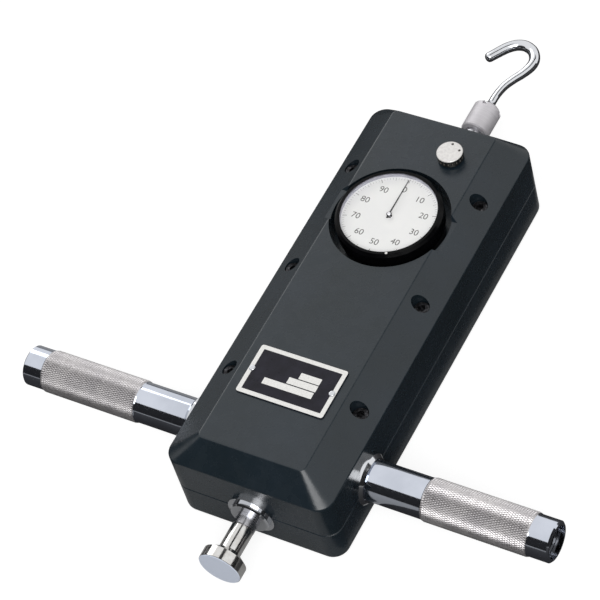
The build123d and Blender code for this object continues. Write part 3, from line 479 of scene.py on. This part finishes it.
finishes = {
    "cast_housing": satin_paint(),
    "screw_steel": black_steel(),
    "chrome": chrome("chrome_plate"),
    "knurled_chrome": chrome("handle_chrome", (208, 213, 224)),
    "spindle_steel": ground_steel(),
    "nut_steel": matte_nut(),
    "spring_steel": spring_wire(),
    "bracket_steel": zinc_plate(),
    "movement_brass": brass(),
    "black_plastic": moulded_plastic(),
    "bezel_black": bezel_gloss(),
    "dial_white": dial_paper(),
    "ring_grey": ring_satin(),
    "clear_crystal": crystal_glass(),
    "needle_black": matte_black(),
    "knob_metal": knob_silver(),
    "label_black": label_enamel(),
}
slot_of = {part["node"]: part["material_slot"] for part in frame["record"]["subparts"]}
for name, node in frame["nodes"].items():
    node.data.materials.clear()
    node.data.materials.append(finishes[slot_of[name]].material)

own_finishes = {
    "push_head": push_face_chrome(),
    "needle_cap": chrome("needle_cap_chrome", (226, 226, 230), 0.2, 0.3),
}
for name, finish in own_finishes.items():
    frame["nodes"][name].data.materials[0] = finish.material

knurl_finish = knurl_plating()
dial_ink = print_ink("dial_ink", (84, 82, 80))
tick_ink = print_ink("tick_ink", (120, 118, 116))
white_ink = print_ink("white_ink", (244, 243, 240))
# Painted shade: dark fill for the knob's dimples.
dimple_painted_shade = print_ink("dimple_painted_shade", (70, 66, 64))


# ---------------------------------------------------------------- mesh helpers
def added_object(name, data):
    made = bpy.data.objects.new(name, data)
    bpy.context.scene.collection.objects.link(made)
    return made


def finished_mesh(name, mesh, material):
    """Mesh data from a bmesh, which is freed."""
    data = bpy.data.meshes.new(name)
    mesh.to_mesh(data)
    mesh.free()
    data.materials.append(material)
    return data


def piece(name, mesh, finish, body):
    """A new mesh object that rides on a body."""
    made = added_object(name, finished_mesh(name, mesh, finish.material))
    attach(made, body)
    return made


def raised(mesh, outline, z0, z1):
    """Thin upright prism over a flat outline of (x, y)."""
    low = [mesh.verts.new((x, y, z0)) for x, y in outline]
    high = [mesh.verts.new((x, y, z1)) for x, y in outline]
    mesh.faces.new(high)
    mesh.faces.new(list(reversed(low)))
    bridge(mesh, low, high)


def rounded_rectangle(x0, x1, y0, y1, radius, steps=6):
    corners = ((x1 - radius, y1 - radius, 0), (x0 + radius, y1 - radius, 90),
               (x0 + radius, y0 + radius, 180), (x1 - radius, y0 + radius, 270))
    outline = []
    for x, y, start in corners:
        for k in range(steps + 1):
            angle = math.radians(start + 90 * k / steps)
            outline.append((x + radius * math.cos(angle), y + radius * math.sin(angle)))
    return outline


def bridge(mesh, first, second):
    """Band of faces between two closed rings of vertices."""
    count = len(first)
    for k in range(count):
        following = (k + 1) % count
        mesh.faces.new((first[k], first[following], second[following], second[k]))


def frame_band(mesh, outer, inner, z0, z1):
    """Raised band between two outlines with the same number of corners."""
    rings = [[mesh.verts.new((x, y, z)) for x, y in outline]
             for outline, z in ((outer, z0), (outer, z1), (inner, z1), (inner, z0))]
    for first, second in zip(rings, rings[1:] + rings[:1]):
        bridge(mesh, first, second)


def disc_outline(x, y, radius):
    angles = [2 * math.pi * k / dot_steps for k in range(dot_steps)]
    return [(x + radius * math.cos(angle), y + radius * math.sin(angle)) for angle in angles]


# ---------------------------------------------------------------- knurled grips
def knurled_sleeve(name, side):
    """Diamond knurling on one handle: pyramids between two sets of spiral grooves."""
    around, along = knurls_around, knurls_along
    mesh = bmesh.new()

    def point(u, v, radius):
        angle = 2 * math.pi * u / around
        x = grip_start + (grip_end - grip_start) * v / along
        return mesh.verts.new((
            side * x,
            handle_y + radius * math.cos(angle),
            handle_z + radius * math.sin(angle),
        ))

    corners = {}
    for v in range(along + 1):
        for u in range(around):
            corners[u, v] = point(u + 0.5 * (v % 2), v, groove_radius)
    middles = {}
    for v in range(1, along):
        for u in range(around):
            middles[u, v] = point(u + 0.5 * ((v + 1) % 2), v, knurl_tip_radius)

    def face(*verts):
        mesh.faces.new(verts if side > 0 else tuple(reversed(verts)))

    for v in range(1, along):
        for u in range(around):
            apex = middles[u, v]
            low, high = corners[u, v - 1], corners[u, v + 1]
            if v % 2:
                near, far = corners[u, v], corners[(u - 1) % around, v]
            else:
                near, far = corners[(u + 1) % around, v], corners[u, v]
            face(apex, near, high)
            face(apex, high, far)
            face(apex, far, low)
            face(apex, low, near)
    for v, turn in ((0, 1), (along, -1)):
        inner = v + turn
        for u in range(around):
            third = corners[(u + v % 2) % around, inner]
            ring = (corners[u, v], corners[(u + 1) % around, v], third)
            face(*(ring if turn > 0 else reversed(ring)))
    bmesh.ops.recalc_face_normals(mesh, faces=mesh.faces)
    piece(name, mesh, knurl_finish, "housing")


knurled_sleeve("right_grip_knurl", 1)
knurled_sleeve("left_grip_knurl", -1)


# ---------------------------------------------------------------- main spring
def closing_spring():
    """The main spring as its own mesh, riding on the housing in place of the part's spring, which is
    hidden.
    """
    mesh = bmesh.new()
    mesh.from_mesh(frame["nodes"]["main_spring"].data)
    made = piece("closing_spring", mesh, finishes["spring_steel"], "housing")
    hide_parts("main_spring")
    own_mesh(made)


closing_spring()


# ---------------------------------------------------------------- hook
def smooth_line(points, steps):
    """Line through given points of (x, y, radius), with steps between each two."""
    padded = [points[0]] + points + [points[-1]]
    line = []
    for k in range(len(points) - 1):
        for step in range(steps):
            t = step / steps
            line.append([
                0.5 * (2 * b + (c - a) * t + (2 * a - 5 * b + 4 * c - d) * t ** 2
                       + (3 * b - a - 3 * c + d) * t ** 3)
                for a, b, c, d in zip(*padded[k:k + 4])
            ])
    line.append(list(points[-1]))
    return line


def forged_hook():
    """Forged hook: collar on the nut, thin shank, thicker round the eye, blunt rounded tip."""
    nut_low, nut_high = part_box("hook_nut")
    axis_x, _, axis_z = middle(nut_low, nut_high)
    line = [list(point) for point in hook_collar] + smooth_line(hook_route, hook_steps)
    angles = [2 * math.pi * k / hook_around for k in range(hook_around)]
    mesh = bmesh.new()
    rings = []

    def ring(x, y, radius, along_x, along_y):
        """Circle square to (along_x, along_y), at x and y in millimetres from the nut's end."""
        rings.append([mesh.verts.new((
            axis_x + (x - along_y * radius * math.cos(angle)) * MM,
            nut_high.y + (y + along_x * radius * math.cos(angle)) * MM,
            axis_z + radius * math.sin(angle) * MM,
        )) for angle in angles])

    for k, (x, y, radius) in enumerate(line):
        before, after = line[max(k - 1, 0)], line[min(k + 1, len(line) - 1)]
        along = Vector((after[0] - before[0], after[1] - before[1])).normalized()
        ring(x, y, radius, along.x, along.y)
    end_x, end_y, end_radius = line[-1]
    for degrees in hook_tip_angles:
        angle = math.radians(degrees)
        reach = hook_tip_reach * end_radius * math.sin(angle)
        ring(end_x + along.x * reach, end_y + along.y * reach,
             end_radius * math.cos(angle), along.x, along.y)
    for first, second in zip(rings, rings[1:]):
        bridge(mesh, first, second)
    mesh.faces.new(rings[0])
    mesh.faces.new(rings[-1])
    bmesh.ops.recalc_face_normals(mesh, faces=mesh.faces)
    made = piece("forged_hook", mesh, finishes["chrome"], "spindle_body")
    made.data.shade_smooth()
    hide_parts("hook")


forged_hook()


# ---------------------------------------------------------------- dial print
def dial_marks():
    """A hundred divisions inside the edge of the dial plate."""
    mesh = bmesh.new()
    centre = Vector((dial_x, dial_y))
    for k in range(marks):
        angle = 2 * math.pi * k / marks
        step = next(step for step in (10, 5, 1) if k % step == 0)
        inner = mark_circle - mark_length[step]
        half = mark_half_width[step]
        along = Vector((math.sin(angle), math.cos(angle)))
        across = Vector((along.y, -along.x))
        places = ((mark_circle, -half), (mark_circle, half), (inner, half), (inner, -half))
        corners = [tuple(centre + along * radius + across * shift) for radius, shift in places]
        raised(mesh, corners, dial_top, dial_top + print_height)
    bmesh.ops.recalc_face_normals(mesh, faces=mesh.faces)
    piece("dial_divisions", mesh, tick_ink, "bezel_head")


def figure(mesh, text, x, y):
    """Adds one printed number, centred on (x, y), to the mesh of the dial."""
    curve = bpy.data.curves.new("figure", "FONT")
    curve.body = text
    curve.size = number_size
    curve.offset = -number_thinning
    curve.extrude = print_height / 2
    curve.align_x = "CENTER"
    curve.align_y = "CENTER"
    carrier = added_object("figure", curve)
    bpy.context.view_layer.update()
    evaluated = carrier.evaluated_get(bpy.context.evaluated_depsgraph_get())
    data = bpy.data.meshes.new_from_object(evaluated)
    data.transform(Matrix.Translation((x, y, dial_top + print_height / 2)))
    mesh.from_mesh(data)
    bpy.data.objects.remove(carrier)
    bpy.data.curves.remove(curve)
    bpy.data.meshes.remove(data)


def dial_numbers():
    """Plain figures every tenth division, clockwise from the top."""
    mesh = bmesh.new()
    for k in range(numbers):
        angle = 2 * math.pi * k / numbers
        figure(mesh, str(k * marks // numbers), dial_x + number_circle * math.sin(angle),
               dial_y + number_circle * math.cos(angle))
    piece("dial_numbers", mesh, dial_ink, "bezel_head")


dial_marks()
dial_numbers()


def bezel_index():
    """Small white dot on the bezel, between five and six o'clock."""
    mesh = bmesh.new()
    raised(mesh, disc_outline(dial_x + index_dot_x, dial_y + index_dot_y, index_dot_radius),
           bezel_top - print_sink, bezel_top + print_height)
    bmesh.ops.recalc_face_normals(mesh, faces=mesh.faces)
    piece("bezel_index_dot", mesh, white_ink, "bezel_head")


bezel_index()


# ---------------------------------------------------------------- nameplate print
def plate_print():
    """White border and three blank write-in bars, no words."""
    z0, z1 = plate_high.z - print_sink, plate_high.z + plate_print_height

    def plate_outline(margin, corner):
        return rounded_rectangle(plate_low.x + margin, plate_high.x - margin,
                                 plate_low.y + margin, plate_high.y - margin, corner)

    mesh = bmesh.new()
    outer = plate_outline(border_outside, border_outer_corner)
    inner = plate_outline(border_inside, border_inner_corner)
    frame_band(mesh, outer, inner, z0, z1)
    for x0, x1, y in write_in_bars:
        low, high = (y - bar_half_height) * MM, (y + bar_half_height) * MM
        raised(mesh, rounded_rectangle(x0 * MM, x1 * MM, low, high, bar_corner), z0, z1)
    bmesh.ops.recalc_face_normals(mesh, faces=mesh.faces)
    piece("nameplate_print", mesh, white_ink, "housing")


plate_print()


# ---------------------------------------------------------------- knob dimples: painted shade
def knob_dimple_shade():
    """Painted shade: a dark fill in the two dimples of the knob, where shade falls."""
    mesh = bmesh.new()
    for degrees in knob_dot_angles:
        angle = math.radians(degrees)
        x = knob_x + knob_dot_circle * math.cos(angle)
        y = knob_y + knob_dot_circle * math.sin(angle)
        raised(mesh, disc_outline(x, y, knob_dot_radius),
               knob_high.z - knob_dot_bottom, knob_high.z - knob_dot_top)
    bmesh.ops.recalc_face_normals(mesh, faces=mesh.faces)
    piece("knob_dimple_painted_shade", mesh, dimple_painted_shade, "knob")


knob_dimple_shade()


# ---------------------------------------------------------------- studio
def stage_sheet(name, material, half_x, half_y, z=0.0):
    """Flat sheet of the studio, which isn't part of the object."""
    mesh = bmesh.new()
    corners = ((-1, -1), (1, -1), (1, 1), (-1, 1))
    mesh.faces.new([mesh.verts.new((x * half_x, y * half_y, z)) for x, y in corners])
    made = added_object(name, finished_mesh(name, mesh, material))
    return made


def aimed(thing, place, aim):
    """Puts a lamp or a card at place, facing aim."""
    thing.location = place
    thing.rotation_euler = (Vector(aim) - Vector(place)).to_track_quat("-Z", "Y").to_euler()


def seen_white(tree, shader_socket, by_camera, by_metal):
    """Adds a glow to a floor's shader: one for camera and transmission rays, one for glossy rays."""
    path = tree.nodes.new("ShaderNodeLightPath")
    direct = maths(tree, "MAXIMUM", path.outputs["Is Camera Ray"], path.outputs["Is Transmission Ray"])
    direct = maths(tree, "MULTIPLY", direct, by_camera)
    mirrored = maths(tree, "MULTIPLY", path.outputs["Is Glossy Ray"], by_metal)
    glow = tree.nodes.new("ShaderNodeEmission")
    tree.links.new(maths(tree, "MAXIMUM", direct, mirrored), glow.inputs["Strength"])
    added = tree.nodes.new("ShaderNodeAddShader")
    tree.links.new(shader_socket, added.inputs[0])
    tree.links.new(glow.outputs[0], added.inputs[1])
    return added.outputs[0]


def make_floor():
    """Pale floor that keeps the shadow; its glow is what the camera and the metal see as white."""
    material = bpy.data.materials.new("studio_floor")
    material.use_nodes = True
    tree = material.node_tree
    tree.nodes.clear()
    diffuse = tree.nodes.new("ShaderNodeBsdfDiffuse")
    diffuse.inputs["Color"].default_value = (floor_grey, floor_grey, floor_grey, 1)
    output = tree.nodes.new("ShaderNodeOutputMaterial")
    glowing = seen_white(tree, diffuse.outputs[0], floor_seen, floor_mirrored)
    tree.links.new(glowing, output.inputs[0])
    stage_sheet("studio_floor", material, floor_half, floor_half, floor_z)


def background(tree, strength):
    shader = tree.nodes.new("ShaderNodeBackground")
    shader.inputs["Color"].default_value = (1, 1, 1, 1)
    shader.inputs["Strength"].default_value = strength
    return shader.outputs[0]


def make_world():
    """Soft white light all round, and white where it is seen or mirrored."""
    world = bpy.data.worlds.new("studio_world")
    world.use_nodes = True
    tree = world.node_tree
    tree.nodes.clear()
    path = tree.nodes.new("ShaderNodeLightPath")
    seen = maths(tree, "MAXIMUM", path.outputs["Is Camera Ray"], path.outputs["Is Glossy Ray"])
    seen = maths(tree, "MAXIMUM", seen, path.outputs["Is Transmission Ray"])
    mix = tree.nodes.new("ShaderNodeMixShader")
    tree.links.new(seen, mix.inputs[0])
    tree.links.new(background(tree, world_light), mix.inputs[1])
    tree.links.new(background(tree, world_seen), mix.inputs[2])
    output = tree.nodes.new("ShaderNodeOutputWorld")
    tree.links.new(mix.outputs[0], output.inputs[0])
    bpy.context.scene.world = world


def area_lamp(name, place, size, power):
    """Soft lamp that faces the origin."""
    data = bpy.data.lights.new(name, "AREA")
    data.shape = "RECTANGLE"
    data.size, data.size_y = size
    data.energy = power
    aimed(added_object(name, data), place, (0, 0, 0))


def dark_card(name, place, aim, half):
    """Black card that metal and gloss reflect; the camera doesn't see it."""
    material = bpy.data.materials.new(name)
    material.use_nodes = True
    shader = material.node_tree.nodes["Principled BSDF"]
    shader.inputs["Base Color"].default_value = (0.02, 0.02, 0.022, 1)
    shader.inputs["Roughness"].default_value = 0.9
    card = stage_sheet(name, material, *half)
    aimed(card, place, aim)
    card.visible_camera = False
    card.visible_diffuse = False
    card.visible_shadow = False


make_floor()
make_world()
area_lamp("left_softbox", (-1.6, 1.0, 1.1), (1.4, 1.2), 8)
area_lamp("front_fill", (0.7, -1.1, 1.6), (1.2, 1.2), 23)
dark_card("front_dark_card", (-0.2, -1.9, 1.0), (-0.1, 0, 1.0), (2.4, 0.98))
dark_card("right_dark_card", (2.0, -0.3, 0.5), (0, -0.3, 0.5), (1.6, 0.48))
dark_card("left_dark_card", (-2.0, 0.2, 0.35), (0, 0.2, 0.35), (1.6, 0.33))
dark_card("overhead_dark_card", (0.17, 0.75, 1.3), (0, 0, 0), (0.2, 0.6))
# Painted shade: dark sheets lying on the floor, seen only in reflections, stand for the shaded floor
# beside and under the object.
dark_card("right_floor_painted_shade", (0.44, 0.25, 0.001), (0.44, 0.25, 1.0), (0.39, 0.7))
dark_card("left_floor_painted_shade", (-0.3, -0.25, 0.001), (-0.3, -0.25, 1.0), (0.23, 0.17))
dark_card("hook_floor_painted_shade", (0.1, 0.33, 0.0005), (0.1, 0.33, 1.0), (0.38, 0.19))

# ---------------------------------------------------------------- camera
camera_place = Vector((0.55836, -0.65971, 1.15301))
forward = Vector((-0.41432, 0.46068, -0.78493)).normalized()
upward = Vector((-0.27162, 0.76055, 0.58974)).normalized()
sideways = forward.cross(upward).normalized()
upward = sideways.cross(forward)
camera_data = bpy.data.cameras.new("camera")
camera_data.sensor_width = 36.0
camera_data.lens = 164.475
camera_data.clip_start = 0.05
camera = added_object("camera", camera_data)
turn = Matrix((sideways, upward, -forward)).transposed()
camera.matrix_world = Matrix.Translation(camera_place) @ turn.to_4x4()
bpy.context.scene.camera = camera
bpy.context.scene.view_settings.view_transform = "Standard"
